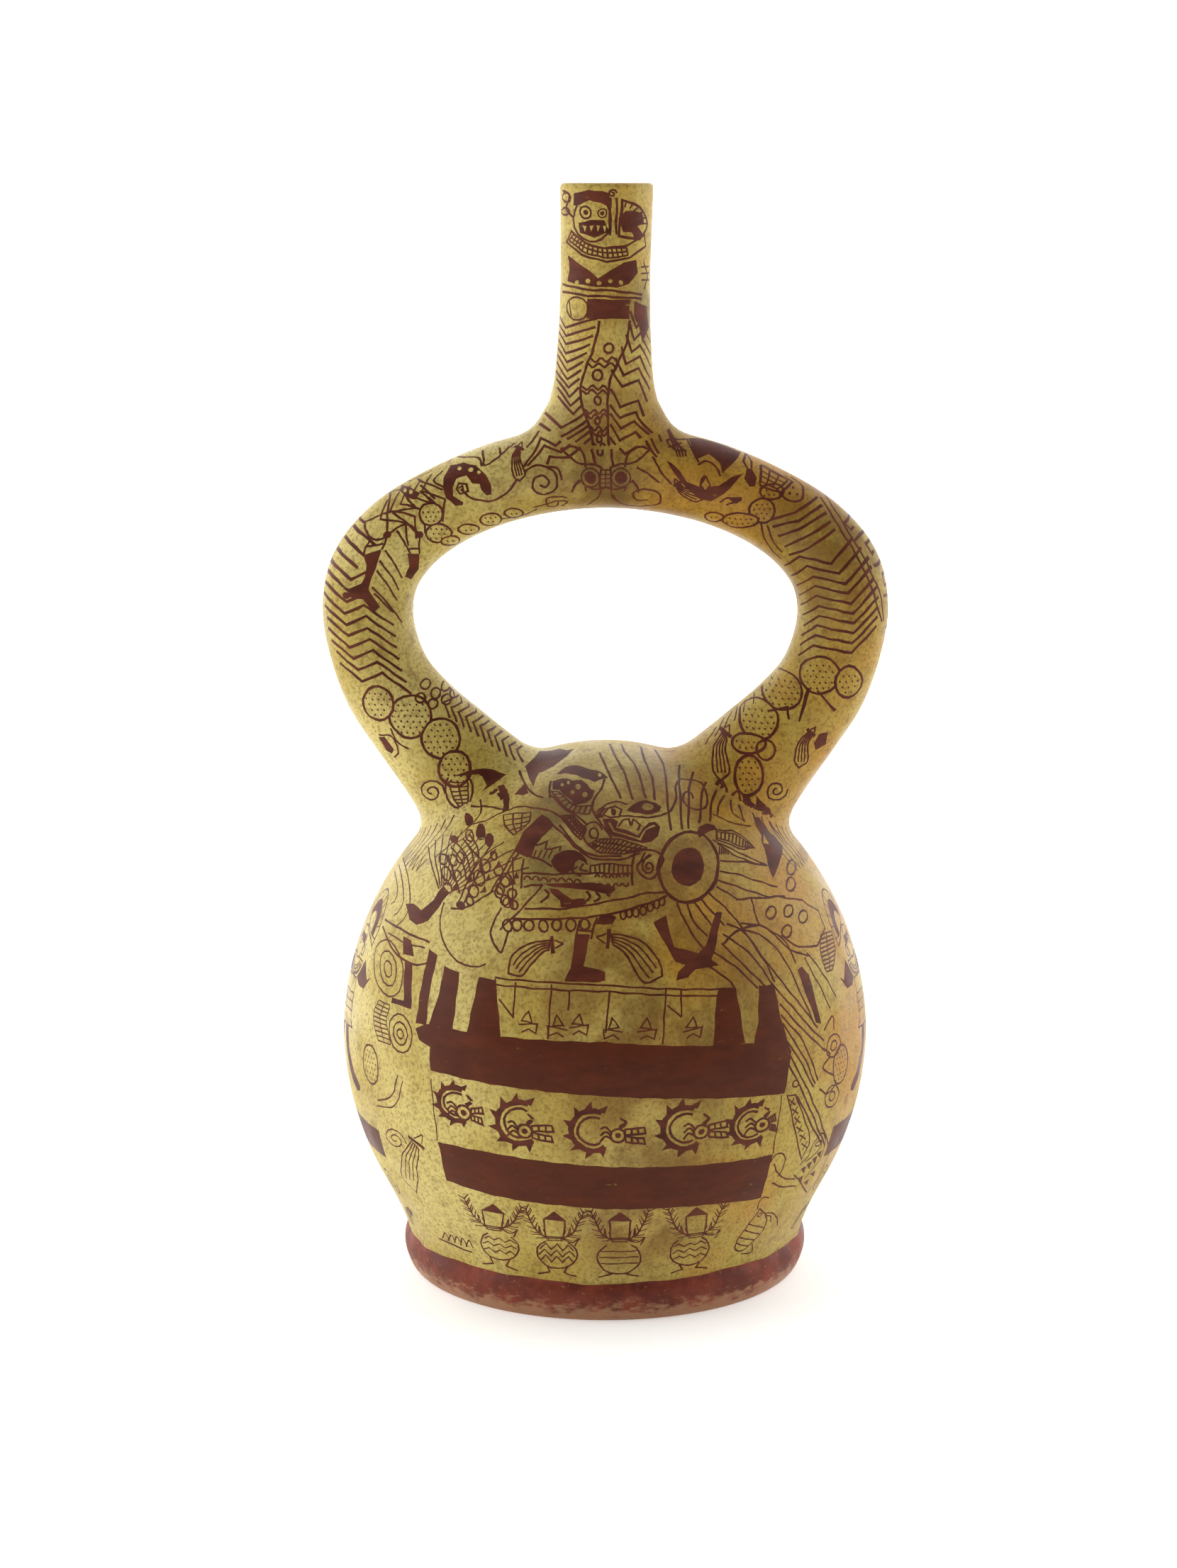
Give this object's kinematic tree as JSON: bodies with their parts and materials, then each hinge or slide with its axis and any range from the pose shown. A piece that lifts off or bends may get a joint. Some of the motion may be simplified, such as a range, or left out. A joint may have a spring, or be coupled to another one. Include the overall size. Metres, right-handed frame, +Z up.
{
  "type": "stirrup spout vessel",
  "caption": "Hollow ovoid earthenware bottle on a low foot ring, with a hollow stirrup loop rising from its shoulders and an upright spout; it holds and pours liquid.",
  "frame": {"origin": "centre of the foot ring's underside, on the chamber's axis", "axes": "+Z up through the spout; +X along the width of the stirrup loop; -Y is the front that the picture shows"},
  "size_m": [0.155, 0.1462, 0.3],
  "materials": {
    "painted_earthenware": "burnished cream slip with red-brown line painting, satin"
  },
  "bodies": {
    "root": {"vessel": "painted_earthenware"}
  },
  "joints": []
}
